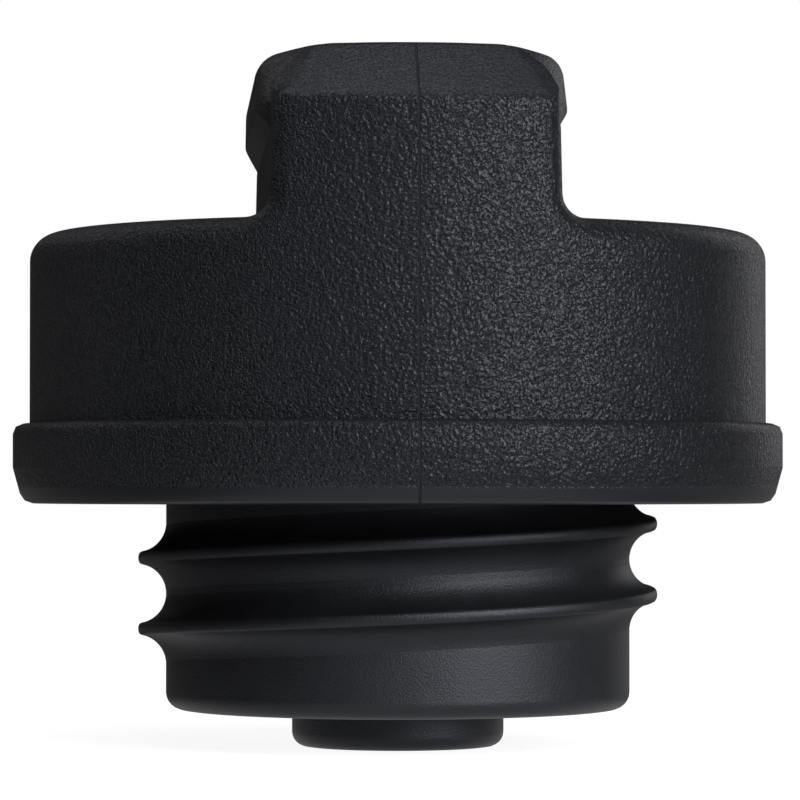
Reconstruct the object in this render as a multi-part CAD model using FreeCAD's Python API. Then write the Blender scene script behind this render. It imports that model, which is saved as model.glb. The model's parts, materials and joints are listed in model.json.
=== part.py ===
import FreeCAD, Part
import math
import os

# Locking fuel cap: a threaded plug with its breather valves, and a grip with a bar handle that turns
# freely on the plug until the key drives two bolts into the plug's drive ring.
# Millimetres, +Z up, axis of the cap on Z, z = 0 at the underside of the valve housing's boss.
# The bar handle runs along Y and its lock is on the axis.

# Outer cover
flange_height = 7.1
flange_top_round = 0.9
flange_taper_height = 3.2
flange_taper = 0.88
flange_bottom_round = 1.2
flange_overhang = 1.5
body_diameter = 66.0
body_height = 16.95
handle_height = 14.7
handle_width = 24.1
handle_draft = 0.2
handle_edge_round = 2.5
handle_cove = 2.0
lip_overhang = 1.28
lip_height = 7.2
lip_underside_height = 1.9
lip_side_round = 0.6
lip_fall = 0.85
lip_top_round = 2.2
lip_corner_share = 0.9
lip_setback = 0.3
crown_width = 16.6
crown_round = 11.0
bar_top_round = 5.5
slope_height = 4.95
slope_depth = 5.5
slope_edge_round = 0.9
slope_top_round = 1.3
cover_wall = 2.4
ceiling_round = 1.0
boss_root = 1.0

# Threaded plug
plug_length = 18.4
neck_space = 9.8
plug_wall = 2.4
plug_floor = 2.6
plug_edge_round = 1.5
thread_depth = 2.5
thread_pitch = 6.35
thread_crest = 1.0
thread_root_width = 5.2
thread_flank_width = 2.4
thread_flank_depth = 1.75
thread_first_crest = 9.1
thread_start_angle = 100.0
thread_turns = 2.24
thread_ramp_angle = 24.0
thread_sink = 0.5
plug_flange_thickness = 2.2
drive_ring_gap = 3.6
drive_ring_wall = 3.0
drive_ring_height = 6.9
drive_notches = 12
drive_notch_depth = 2.0

# Seal and retainer
seal_recess = 3.2
seal_thickness = 3.0
seal_bore_gap = 0.5
seal_side_gap = 0.95
retainer_width = 3.0
retainer_thickness = 2.0
retainer_seat = 0.8

# Breather valves
boss_diameter = 19.0
boss_height = 3.35
boss_edge_round = 1.3
housing_tube_diameter = 15.2
housing_tube_wall = 1.2
housing_tube_top = 11.0
housing_floor = 1.6
snap_bead = 0.5
snap_bead_height = 0.85
inlet_diameter = 6.0
seat_diameter = 8.0
seat_width = 0.6
seat_height = 0.4
gasket_diameter = 10.8
gasket_thickness = 0.8
gasket_bore = 3.8
valve_disc_diameter = 11.2
valve_disc_thickness = 1.2
valve_hub_diameter = 5.6
valve_hub_height = 2.2
guide_height = 1.0
guide_vents = 3
guide_vent_diameter = 0.8
vacuum_plate_diameter = 5.4
vacuum_plate_thickness = 1.0
vacuum_stem_diameter = 1.8
vacuum_spring_height = 2.3
vacuum_spring_wire = 0.36
vacuum_spring_turns = 2.5
vacuum_clip_diameter = 5.0
vacuum_clip_thickness = 0.45
vacuum_clip_gap = 1.5
vacuum_groove_depth = 0.2
stem_end = 0.3
pressure_spring_wire = 0.8
pressure_spring_turns = 3.5
spring_cap_thickness = 1.2
spring_cap_spigot = 0.85
spring_cap_spigot_height = 0.8
cap_vents = 4
cap_vent_diameter = 1.8
cap_vent_circle = 6.0

# Lock
lock_housing_diameter = 18.4
lock_housing_lift = 1.0
lock_collar_overhang = 0.9
lock_collar_height = 1.0
lock_boss_wall = 2.4
lock_boss_lift = 1.8
housing_clip_thickness = 0.9
housing_clip_reach = 2.0
housing_groove_depth = 1.0
housing_clip_gap = 7.0
rotor_diameter = 12.4
rotor_head_diameter = 14.8
rotor_head_height = 2.8
rotor_face_recess = 0.15
face_cap_thickness = 0.5
rotor_groove_depth = 1.2
rotor_clip_thickness = 0.6
rotor_clip_diameter = 15.0
rotor_clip_gap = 5.0
rotor_tail_square = 6.0
keyway_width = 2.6
keyway_length = 8.0
keyway_lift = 1.1
wafer_count = 5
wafer_lift = 2.8
wafer_pitch = 2.85
wafer_thickness = 0.8
wafer_width = 6.2
shutter_thickness = 0.5
shutter_length = 4.2
shutter_width = 8.4
shutter_pin_offset = 2.6
shutter_pin_diameter = 0.8
shutter_pin_length = 11.2
shutter_pin_drop = 0.95
shutter_knuckle_diameter = 1.4
shutter_spring_space = 3.6
shutter_spring_wire = 0.2
shutter_spring_turns = 2.5
shutter_spring_leg = 1.6

# Cam and bolts
cam_diameter = 25.0
cam_thickness = 2.0
cam_rest_radius = 7.0
bolt_travel = 2.5
cam_turn = 90.0
scroll_steps = 6
bolt_pin_diameter = 2.3
bolt_pin_height = 2.1
bolt_thickness = 2.7
bolt_width = 8.0
bolt_tip_width = 4.0
bolt_tip_length = 3.9
bolt_inner_end = 4.2
bolt_tip_gap = 1.1
bolt_tip_chamfer = 0.5
cam_screw_diameter = 2.9
cam_screw_head_diameter = 5.4
cam_screw_head_height = 1.6
cam_screw_length = 4.1
carrier_gap = 1.5
carrier_roof = 3.1
cam_recess_gap = 0.5
channel_stop = 0.9
keeper_thickness = 0.8
keeper_lift = 0.45
keeper_bore = 8.0
screw_count = 4
screw_circle = 31.0
screw_diameter = 3.0
screw_head_diameter = 5.0
screw_head_height = 1.6
screw_head_gap = 0.4
screw_bite = 5.4
screw_boss_diameter = 6.4

# Clearances
fit_gap = 0.05
slide_gap = 0.1
turn_gap = 0.3
notch_gap = 0.2
retainer_gap = 0.2

# How far a cutter runs past the face that it opens, and how near two places count as one
cutter_margin = 1.0
same_place = 1e-4

# Levels from the bottom up
plug_bottom = boss_height
plug_floor_top = plug_bottom + plug_floor
cover_bottom = plug_bottom + plug_length
seal_bottom = cover_bottom + seal_recess
seal_top = seal_bottom + seal_thickness
retainer_top = seal_top - retainer_gap
plug_flange_top = seal_top + plug_flange_thickness
drive_ring_top = plug_flange_top + drive_ring_height
ledge = cover_bottom + flange_height
recess_floor = ledge + body_height
handle_top = recess_floor + handle_height
lip_bottom = handle_top - lip_height
slope_bottom = handle_top - slope_height
ceiling = recess_floor - cover_wall
handle_roof = handle_top - cover_wall
keeper_bottom = plug_flange_top + keeper_lift
carrier_bottom = keeper_bottom + keeper_thickness
bolt_bottom = carrier_bottom + slide_gap
bolt_top = bolt_bottom + bolt_thickness
channel_top = bolt_top + slide_gap
carrier_top = channel_top + carrier_roof
cam_bottom = channel_top + turn_gap
cam_top = cam_bottom + cam_thickness
lock_housing_bottom = carrier_top + lock_housing_lift
lock_boss_bottom = lock_housing_bottom + lock_boss_lift
keyway_bottom = lock_housing_bottom + keyway_lift
wafer_first = lock_housing_bottom + wafer_lift

# Radii that several pieces share
body_radius = body_diameter / 2
flange_radius = body_radius + flange_overhang
cavity_radius = body_radius - cover_wall
retainer_radius = cavity_radius + retainer_seat - fit_gap
retainer_bore = retainer_radius - retainer_width
handle_half = handle_width / 2
lip_half = handle_half + lip_overhang
lip_corner_round = lip_half * lip_corner_share
plug_radius = cavity_radius - neck_space
plug_bore = plug_radius - plug_wall
thread_radius = plug_radius + thread_depth
drive_ring_radius = cavity_radius - drive_ring_gap
drive_ring_bore = drive_ring_radius - drive_ring_wall
carrier_radius = drive_ring_bore - carrier_gap
cam_recess_radius = cam_diameter / 2 + cam_recess_gap
housing_tube_radius = housing_tube_diameter / 2
housing_tube_bore = housing_tube_radius - housing_tube_wall
lock_radius = lock_housing_diameter / 2
lock_collar_radius = lock_radius + lock_collar_overhang
rotor_radius = rotor_diameter / 2
rotor_head_radius = rotor_head_diameter / 2

Z_AXIS = FreeCAD.Vector(0, 0, 1)
ORIGIN = FreeCAD.Vector(0, 0, 0)


def upright(u, v):
    return FreeCAD.Vector(u, 0, v)


def flat(u, v):
    return FreeCAD.Vector(u, v, 0)


def corner_arc(before, corner, after):
    """Start, middle and end of the arc that rounds a corner; all three are the corner where it is sharp."""
    u, v, radius = corner
    if radius == 0:
        return (u, v), None, (u, v)
    to_before = (before[0] - u, before[1] - v)
    to_after = (after[0] - u, after[1] - v)
    size_before = math.hypot(*to_before)
    size_after = math.hypot(*to_after)
    a = (to_before[0] / size_before, to_before[1] / size_before)
    b = (to_after[0] / size_after, to_after[1] / size_after)
    half_angle = math.acos(a[0] * b[0] + a[1] * b[1]) / 2
    reach = radius / math.tan(half_angle)
    middle_size = math.hypot(a[0] + b[0], a[1] + b[1])
    inward = ((a[0] + b[0]) / middle_size, (a[1] + b[1]) / middle_size)
    depth = radius / math.sin(half_angle) - radius
    start = (u + a[0] * reach, v + a[1] * reach)
    middle = (u + inward[0] * depth, v + inward[1] * depth)
    end = (u + b[0] * reach, v + b[1] * reach)
    return start, middle, end


def outline(corners, place, faceted=False):
    """Closed face through corners (u, v) or (u, v, radius) in the plane that place gives.

    A rounded corner is an arc, or two flats that meet on that arc where the outline is faceted.
    """
    full = [tuple(c) + (0,) * (3 - len(c)) for c in corners]
    count = len(full)
    arcs = [corner_arc(full[i - 1], full[i], full[(i + 1) % count]) for i in range(count)]
    edges = []
    for i, (start, middle, end) in enumerate(arcs):
        if middle and faceted:
            edges.append(Part.makeLine(place(*start), place(*middle)))
            edges.append(Part.makeLine(place(*middle), place(*end)))
        elif middle:
            edges.append(Part.Arc(place(*start), place(*middle), place(*end)).toShape())
        following = arcs[(i + 1) % count][0]
        if math.dist(end, following) > 1e-6:
            edges.append(Part.makeLine(place(*end), place(*following)))
    return Part.Face(Part.Wire(edges))


def turned(corners):
    """Solid of revolution of a profile of (radius, z) corners, its rounds turned as two cones."""
    return outline(corners, upright, faceted=True).revolve(ORIGIN, Z_AXIS, 360)


def tube(outer, inner, bottom, top):
    return turned([(inner, bottom), (outer, bottom), (outer, top), (inner, top)])


def rod(radius, bottom, top, x=0.0, y=0.0):
    return Part.makeCylinder(radius, top - bottom, FreeCAD.Vector(x, y, bottom))


def block(x0, x1, y0, y1, z0, z1):
    return Part.makeBox(x1 - x0, y1 - y0, z1 - z0, FreeCAD.Vector(x0, y0, z0))


def along_y(corners, half_length):
    """Prism of an upright (x, z) profile, centred on y = 0."""
    prism = outline(corners, upright).extrude(FreeCAD.Vector(0, 2 * half_length, 0))
    prism.translate(FreeCAD.Vector(0, -half_length, 0))
    return prism


def spun(shape, angle):
    copy = shape.copy()
    copy.rotate(ORIGIN, Z_AXIS, angle)
    return copy


def ring_of(shape, count, first_angle=0.0):
    """Copies of a shape, evenly spaced round the axis, as one compound."""
    step = 360.0 / count
    return Part.makeCompound([spun(shape, first_angle + i * step) for i in range(count)])


def coil(mean_radius, wire, bottom, top, turns):
    """Helical spring of square wire that just fits between the two levels."""
    rise = (top - bottom - wire) / turns
    helix = Part.makeHelix(rise, rise * turns, mean_radius)
    half = wire / 2
    corners = [(half, half), (-half, half), (-half, -half), (half, -half)]
    points = [upright(mean_radius + u, v) for u, v in corners]
    spring = helix.makePipeShell([Part.makePolygon(points + points[:1])], True, True)
    spring.translate(FreeCAD.Vector(0, 0, bottom + half))
    return spring


def open_clip(inner, outer, bottom, thickness, gap, side):
    """Spring clip: a flat ring with a mouth of the given gap, open towards side (+1 or -1) along Y."""
    ring = tube(outer, inner, bottom, bottom + thickness)
    far = side * (outer + cutter_margin)
    below = bottom - cutter_margin
    above = bottom + thickness + cutter_margin
    mouth = block(-gap / 2, gap / 2, min(0, far), max(0, far), below, above)
    return ring.cut(mouth)


def screw_spots():
    step = 360.0 / screw_count
    angles = [math.radians(step * (i + 0.5)) for i in range(screw_count)]
    radius = screw_circle / 2
    return [(radius * math.cos(a), radius * math.sin(a)) for a in angles]


# Grip cover

def cover_lower():
    """Flange, round body and the bar up to its lip, with the two finger recesses cut out of the round."""
    taper_radius = flange_radius - flange_taper
    solid = turned([
        (0, cover_bottom), (taper_radius, cover_bottom, flange_bottom_round),
        (flange_radius, cover_bottom + flange_taper_height), (flange_radius, ledge, flange_top_round),
        (body_radius, ledge), (body_radius, lip_bottom), (0, lip_bottom),
    ])
    beyond = flange_radius + cutter_margin
    above = lip_bottom + cutter_margin
    for side in (1, -1):
        recess = along_y([
            (side * (handle_half + handle_draft), recess_floor, handle_cove), (side * beyond, recess_floor),
            (side * beyond, above), (side * handle_half, above),
        ], beyond)
        solid = solid.cut(recess)
    return solid.makeFillet(handle_edge_round, [e for e in solid.Edges if borders_recess(e)])


def borders_recess(edge):
    """True for the edges where a finger recess meets the round of the body."""
    spots = [edge.valueAt(p) for p in (edge.FirstParameter, edge.LastParameter)]
    spots.append(edge.valueAt((edge.FirstParameter + edge.LastParameter) / 2))
    on_round = all(abs(math.hypot(s.x, s.y) - body_radius) < same_place for s in spots)
    above_floor = all(s.z > recess_floor - same_place for s in spots)
    on_top = all(s.z > lip_bottom - same_place for s in spots)
    return on_round and above_floor and not on_top


def bar_outline(half_width, end_radius, corner_round, level):
    """Outline of the bar at a level: straight sides, round ends and rounded corners."""
    beyond = end_radius + cutter_margin
    slab = rod(end_radius, level, level + lip_height)
    slab = slab.common(block(-half_width, half_width, -beyond, beyond, level, level + lip_height))
    tall = [e for e in slab.Edges if abs(e.Length - lip_height) < same_place]
    uprights = [e for e in tall if abs(e.Vertexes[0].Y) > half_width]
    slab = slab.makeFillet(corner_round, uprights)
    return next(f for f in slab.Faces if f.BoundBox.ZMax < level + same_place).OuterWire


def mirrored(right):
    """Closed profile from its right half, listed upwards."""
    return right + [(-c[0],) + c[1:] for c in reversed(right)]


def bar_top():
    """Top of the bar between the lips, with a sloped face at each end."""
    foot = Part.Face(bar_outline(handle_half, body_radius, handle_edge_round, lip_bottom))
    bar = foot.extrude(FreeCAD.Vector(0, 0, lip_height))
    bar = bar.common(along_y(mirrored([
        (handle_half, lip_bottom), (handle_half, handle_top, bar_top_round),
    ]), body_radius + cutter_margin))
    return bar.common(turned([
        (0, lip_bottom), (body_radius, lip_bottom), (body_radius, slope_bottom, slope_edge_round),
        (body_radius - slope_depth, handle_top, slope_top_round), (0, handle_top),
    ]))


def lip_rails():
    """Overhanging lips along the bar's sides: their ends wrap round behind the sloped faces."""
    reach = body_radius - lip_setback
    foot = bar_outline(lip_half, reach, lip_corner_round, slope_bottom)
    crown = bar_outline(lip_half, reach - slope_depth, lip_corner_round, handle_top)
    rails = Part.Face(foot).extrude(FreeCAD.Vector(0, 0, lip_bottom - slope_bottom))
    rails = rails.fuse(Part.makeLoft([foot, crown], True, True))
    return rails.common(along_y(mirrored([
        (handle_half, lip_bottom), (lip_half, lip_bottom + lip_underside_height, lip_side_round),
        (lip_half, handle_top - lip_fall, lip_top_round), (crown_width / 2, handle_top, crown_round),
    ]), body_radius + cutter_margin))


def cover_upper():
    """Upper part of the bar: the bar's own top and the lips along its sides."""
    return bar_top().fuse(lip_rails())


def handle_pocket():
    """Hollow of the bar, one wall inside its faces, with the lock's tube left standing."""
    lean = slope_depth / slope_height
    inset = cover_wall * math.hypot(1, lean)
    foot = slope_bottom - (cavity_radius - body_radius + inset) / lean
    start = ceiling - cover_wall
    inner = turned([
        (0, start), (cavity_radius, start), (cavity_radius, foot),
        (body_radius - inset - (handle_roof - slope_bottom) * lean, handle_roof), (0, handle_roof),
    ])
    half = handle_half - cover_wall
    hollow = along_y([
        (-half, start), (half, start), (half, handle_roof, ceiling_round),
        (-half, handle_roof, ceiling_round),
    ], body_radius)
    return hollow.common(inner).cut(rod(lock_radius + lock_boss_wall, start - cutter_margin, handle_top))


def grip_cover():
    solid = cover_lower().fuse(cover_upper()).removeSplitter()
    mouth = cavity_radius + retainer_seat
    below = cover_bottom - cutter_margin
    above = handle_top + cutter_margin
    solid = solid.cut(turned([
        (0, below), (mouth, below), (mouth, retainer_top),
        (cavity_radius, retainer_top), (cavity_radius, ceiling), (0, ceiling),
    ]))
    solid = solid.cut(handle_pocket())
    solid = solid.fuse(rod(lock_radius + lock_boss_wall, lock_boss_bottom, handle_roof + boss_root))
    for x, y in screw_spots():
        solid = solid.fuse(rod(screw_boss_diameter / 2, carrier_top, ceiling + boss_root, x, y))
    solid = solid.cut(rod(lock_radius + fit_gap, lock_boss_bottom - cutter_margin, above))
    solid = solid.cut(rod(lock_collar_radius + fit_gap, handle_top - lock_collar_height, above))
    for x, y in screw_spots():
        depth = carrier_top + screw_bite + fit_gap
        solid = solid.cut(rod(screw_diameter / 2 + fit_gap, carrier_top - cutter_margin, depth, x, y))
    return solid.removeSplitter()


def retainer_ring():
    """Ring welded into the mouth of the cover, against the shoulder under the plug's flange."""
    return tube(retainer_radius, retainer_bore, retainer_top - retainer_thickness, retainer_top)


# Threaded plug

def thread_profile():
    """Section of the thread: a narrow crest on two hollow flanks, rooted inside the plug's wall."""
    root = plug_radius - thread_sink
    flank = thread_radius - thread_flank_depth
    half = [
        (root, thread_root_width / 2), (flank, thread_flank_width / 2), (thread_radius, thread_crest / 2),
    ]
    return half + [(r, -z) for r, z in reversed(half)]


def thread_ridge():
    """Single-start right-hand thread with a ramp at each end."""
    points = [upright(r, z) for r, z in thread_profile()]
    rise = thread_pitch * thread_turns
    helix = Part.makeHelix(thread_pitch, rise, thread_radius)
    ridge = helix.makePipeShell([Part.makePolygon(points + points[:1])], True, True)
    for end_angle, end_z, way in ((0.0, 0.0, 1), (360.0 * thread_turns, rise, -1)):
        ridge = ridge.cut(thread_ramp(end_angle, end_z, way))
    ridge.translate(FreeCAD.Vector(0, 0, thread_first_crest))
    return spun(ridge, thread_start_angle)


def thread_ramp(end_angle, end_z, way):
    """Cutter that brings the crest down to the plug's wall over the ramp angle at one end."""
    climb = math.radians(way * thread_ramp_angle)
    start = flat(plug_radius - thread_sink / 2, 0)
    end = flat(thread_radius * math.cos(climb), thread_radius * math.sin(climb))
    along = (end - start).normalize()
    outward = FreeCAD.Vector(along.y, -along.x, 0) * way
    first = start - along * thread_radius
    corners = [first, end, end + outward * thread_radius, first + outward * thread_radius]
    cutter = Part.Face(Part.makePolygon(corners + corners[:1]))
    cutter = cutter.extrude(FreeCAD.Vector(0, 0, thread_pitch))
    cutter.translate(FreeCAD.Vector(0, 0, end_z - thread_pitch / 2 + way * thread_crest / 4))
    return spun(cutter, end_angle)


def threaded_plug():
    outer_flange = cavity_radius - turn_gap
    hole = housing_tube_radius + fit_gap
    head_reach = (screw_circle + screw_head_diameter) / 2
    head_room = max(plug_bore, head_reach + screw_head_gap)
    head_floor = keeper_bottom - screw_head_height - screw_head_gap
    solid = turned([
        (hole, plug_bottom), (plug_radius, plug_bottom, plug_edge_round), (plug_radius, seal_top),
        (outer_flange, seal_top), (outer_flange, plug_flange_top), (drive_ring_radius, plug_flange_top),
        (drive_ring_radius, drive_ring_top), (drive_ring_bore, drive_ring_top),
        (drive_ring_bore, plug_flange_top), (head_room, plug_flange_top), (head_room, head_floor),
        (plug_bore, head_floor), (plug_bore, plug_floor_top), (hole, plug_floor_top),
    ])
    solid = solid.fuse(thread_ridge())
    half = bolt_tip_width / 2 + notch_gap
    notch = block(
        drive_ring_bore - cutter_margin, drive_ring_bore + drive_notch_depth, -half, half,
        plug_flange_top, drive_ring_top + cutter_margin,
    )
    return solid.cut(ring_of(notch, drive_notches))


def seal_ring():
    return tube(retainer_bore - seal_side_gap, plug_radius + seal_bore_gap, seal_bottom, seal_top)


# Breather valves

seat_level = housing_floor + seat_height
disc_bottom = seat_level + gasket_thickness
disc_top = disc_bottom + valve_disc_thickness
hub_top = disc_top + valve_hub_height
clip_level = hub_top + vacuum_spring_height


def valve_housing():
    boss = boss_diameter / 2
    inlet = inlet_diameter / 2
    seat = seat_diameter / 2
    bead_bottom = plug_floor_top + fit_gap
    bead_top = bead_bottom + snap_bead_height
    bead = housing_tube_radius + snap_bead
    return turned([
        (inlet, 0), (boss, 0, boss_edge_round), (boss, boss_height), (housing_tube_radius, boss_height),
        (housing_tube_radius, bead_bottom), (bead, bead_bottom), (housing_tube_radius, bead_top),
        (housing_tube_radius, housing_tube_top), (housing_tube_bore, housing_tube_top),
        (housing_tube_bore, housing_floor), (seat, housing_floor), (seat, seat_level),
        (seat - seat_width, seat_level), (seat - seat_width, housing_floor), (inlet, housing_floor),
    ])


def spring_cap():
    top = housing_tube_top + spring_cap_thickness
    spigot = housing_tube_bore - fit_gap
    spigot_bottom = housing_tube_top - spring_cap_spigot_height
    solid = turned([
        (0, housing_tube_top), (spigot - spring_cap_spigot, housing_tube_top),
        (spigot - spring_cap_spigot, spigot_bottom), (spigot, spigot_bottom), (spigot, housing_tube_top),
        (housing_tube_radius, housing_tube_top), (housing_tube_radius, top), (0, top),
    ])
    below = housing_tube_top - cutter_margin
    vent = rod(cap_vent_diameter / 2, below, top + cutter_margin, cap_vent_circle / 2)
    return solid.cut(ring_of(vent, cap_vents))


def pressure_spring():
    inside_spigot = housing_tube_bore - fit_gap - spring_cap_spigot - slide_gap
    mean = inside_spigot - turn_gap - pressure_spring_wire / 2
    return coil(mean, pressure_spring_wire, disc_top, housing_tube_top, pressure_spring_turns)


def pressure_valve():
    hub = valve_hub_diameter / 2
    bore = gasket_bore / 2
    guide = vacuum_stem_diameter / 2 + fit_gap
    solid = turned([
        (bore, disc_bottom), (valve_disc_diameter / 2, disc_bottom), (valve_disc_diameter / 2, disc_top),
        (hub, disc_top), (hub, hub_top), (guide, hub_top), (guide, hub_top - guide_height),
        (bore, hub_top - guide_height),
    ])
    vent = rod(guide_vent_diameter / 2, disc_bottom, hub_top + cutter_margin, (guide + bore) / 2)
    return solid.cut(ring_of(vent, guide_vents))


def valve_gasket():
    return tube(gasket_diameter / 2, gasket_bore / 2, seat_level, disc_bottom)


def vacuum_valve():
    plate = vacuum_plate_diameter / 2
    stem = vacuum_stem_diameter / 2
    groove = stem - vacuum_groove_depth
    groove_top = clip_level + vacuum_clip_thickness
    return turned([
        (0, seat_level - vacuum_plate_thickness), (plate, seat_level - vacuum_plate_thickness),
        (plate, seat_level), (stem, seat_level), (stem, clip_level), (groove, clip_level),
        (groove, groove_top), (stem, groove_top), (stem, groove_top + stem_end), (0, groove_top + stem_end),
    ])


def vacuum_clip():
    inner = vacuum_stem_diameter / 2 - vacuum_groove_depth + fit_gap
    outer = vacuum_clip_diameter / 2
    return open_clip(inner, outer, clip_level, vacuum_clip_thickness, vacuum_clip_gap, 1)


def vacuum_spring():
    mean = (vacuum_clip_diameter - vacuum_spring_wire) / 2 - slide_gap
    return coil(mean, vacuum_spring_wire, hub_top, clip_level, vacuum_spring_turns)


# Lock

face_top = handle_top - rotor_face_recess
head_top = face_top - face_cap_thickness
head_bottom = head_top - rotor_head_height
pin_level = head_top - shutter_pin_drop
pocket_half = shutter_width / 2 + slide_gap
rotor_clip_level = lock_housing_bottom - slide_gap - rotor_clip_thickness


def lock_housing():
    collar = lock_collar_radius
    bore = rotor_radius + fit_gap
    head = rotor_head_radius + fit_gap
    groove = lock_radius - housing_groove_depth
    groove_bottom = lock_boss_bottom - housing_clip_thickness - slide_gap
    ledge_level = head_bottom - fit_gap
    return turned([
        (bore, lock_housing_bottom), (lock_radius, lock_housing_bottom), (lock_radius, groove_bottom),
        (groove, groove_bottom), (groove, lock_boss_bottom), (lock_radius, lock_boss_bottom),
        (lock_radius, handle_top - lock_collar_height), (collar, handle_top - lock_collar_height),
        (collar, handle_top), (head, handle_top), (head, ledge_level), (bore, ledge_level),
    ])


def housing_clip():
    inner = lock_radius - housing_groove_depth + fit_gap
    bottom = lock_boss_bottom - housing_clip_thickness - fit_gap
    outer = lock_radius + housing_clip_reach
    return open_clip(inner, outer, bottom, housing_clip_thickness, housing_clip_gap, 1)


def wafer_levels():
    return [wafer_first + i * wafer_pitch for i in range(wafer_count)]


def lock_rotor():
    groove = rotor_radius - rotor_groove_depth
    groove_top = rotor_clip_level + rotor_clip_thickness + fit_gap
    solid = turned([
        (0, cam_top), (rotor_radius, cam_top), (rotor_radius, rotor_clip_level - fit_gap),
        (groove, rotor_clip_level - fit_gap), (groove, groove_top), (rotor_radius, groove_top),
        (rotor_radius, head_bottom), (rotor_head_radius, head_bottom), (rotor_head_radius, head_top),
        (0, head_top),
    ])
    tail = rotor_tail_square / 2
    solid = solid.fuse(block(-tail, tail, -tail, tail, cam_bottom + slide_gap, cam_top))
    half_key = keyway_width / 2
    key = keyway_length / 2
    above = head_top + cutter_margin
    solid = solid.cut(block(-half_key, half_key, -key, key, keyway_bottom, above))
    slot = wafer_width / 2 + fit_gap
    for level in wafer_levels():
        bottom = level - fit_gap
        top = level + wafer_thickness + fit_gap
        solid = solid.cut(block(-slot, slot, -rotor_radius, rotor_radius, bottom, top))
    pocket_end = shutter_pin_offset + shutter_knuckle_diameter / 2 + slide_gap
    pocket_start = shutter_pin_offset - shutter_length - notch_gap
    pocket_floor = pin_level - shutter_length - turn_gap
    solid = solid.cut(block(
        pocket_start, pocket_end, -pocket_half, pocket_half, pocket_floor, above,
    ))
    solid = solid.cut(pin_rod(shutter_pin_diameter / 2 + fit_gap, shutter_pin_length + slide_gap))
    screw_hole = cam_screw_diameter / 2 + fit_gap
    return solid.cut(rod(screw_hole, cam_bottom - cutter_margin, cam_bottom + cam_screw_length))


def pin_rod(radius, length):
    """Rod along Y on the shutter's hinge line."""
    corner = FreeCAD.Vector(shutter_pin_offset, -length / 2, pin_level)
    return Part.makeCylinder(radius, length, corner, FreeCAD.Vector(0, 1, 0))


def wafer_tumblers():
    """Five wafers, drawn level with the rotor's surface, each with the window that the key passes."""
    half = wafer_width / 2
    window_x = keyway_width / 2 + slide_gap
    window_y = keyway_length / 2 + slide_gap
    wafers = []
    for level in wafer_levels():
        top = level + wafer_thickness
        plate = rod(rotor_radius - slide_gap, level, top)
        plate = plate.common(block(-half, half, -rotor_radius, rotor_radius, level, top))
        window = block(
            -window_x, window_x, -window_y, window_y, level - cutter_margin, top + cutter_margin,
        )
        wafers.append(plate.cut(window))
    return Part.makeCompound(wafers)


def rotor_clip():
    inner = rotor_radius - rotor_groove_depth + fit_gap
    outer = rotor_clip_diameter / 2
    return open_clip(inner, outer, rotor_clip_level, rotor_clip_thickness, rotor_clip_gap, -1)


def rotor_face_cap():
    disc = rod(rotor_head_radius, head_top, face_top)
    half = keyway_width / 2
    key = keyway_length / 2
    return disc.cut(block(-half, half, -key, key, head_top - cutter_margin, face_top + cutter_margin))


def dust_shutter():
    """Flap under the key slot, with two knuckles round its pin and a gap between them for the spring."""
    top = head_top - slide_gap
    half = shutter_width / 2
    start = shutter_pin_offset - shutter_length
    plate = block(start, shutter_pin_offset, -half, half, top - shutter_thickness, top)
    plate = plate.fuse(pin_rod(shutter_knuckle_diameter / 2, shutter_width))
    gap = shutter_spring_space / 2
    reach = shutter_knuckle_diameter
    plate = plate.cut(block(
        shutter_pin_offset - reach, shutter_pin_offset + reach, -gap, gap,
        pin_level - reach, top + cutter_margin,
    ))
    return plate.cut(pin_rod(shutter_pin_diameter / 2 + fit_gap, shutter_width + cutter_margin))


def shutter_pin():
    return pin_rod(shutter_pin_diameter / 2, shutter_pin_length)


def shutter_spring():
    """Torsion spring round the pin, one leg under the flap and one down the wall of the pocket."""
    space = shutter_spring_space / 2 - slide_gap
    mean = shutter_pin_diameter / 2 + slide_gap + shutter_spring_wire / 2
    spring = coil(mean, shutter_spring_wire, -space, space, shutter_spring_turns)
    spring.rotate(ORIGIN, FreeCAD.Vector(1, 0, 0), -90)
    half = shutter_spring_wire / 2
    wire_end = space - shutter_spring_wire / 2
    upper = block(-mean - shutter_spring_leg, half - mean, -half, half, -half, half)
    upper.translate(FreeCAD.Vector(0, wire_end, 0))
    lower = block(mean - half, mean + half, -half, half, -shutter_spring_leg, half)
    lower.translate(FreeCAD.Vector(0, -wire_end, 0))
    spring = spring.fuse([upper, lower])
    spring.translate(FreeCAD.Vector(shutter_pin_offset, 0, pin_level))
    return spring


# Cam and bolts

def scroll_point(turn, offset):
    """Point of the scroll at a turn of the cam in degrees, moved sideways by offset."""
    a = -math.radians(turn)
    radius = cam_rest_radius + bolt_travel * turn / cam_turn
    growth = -bolt_travel / math.radians(cam_turn)
    tangent = flat(growth * math.cos(a) - radius * math.sin(a), growth * math.sin(a) + radius * math.cos(a))
    tangent.normalize()
    normal = flat(tangent.y, -tangent.x)
    return flat(radius * math.cos(a), radius * math.sin(a)) + normal * offset


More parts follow.
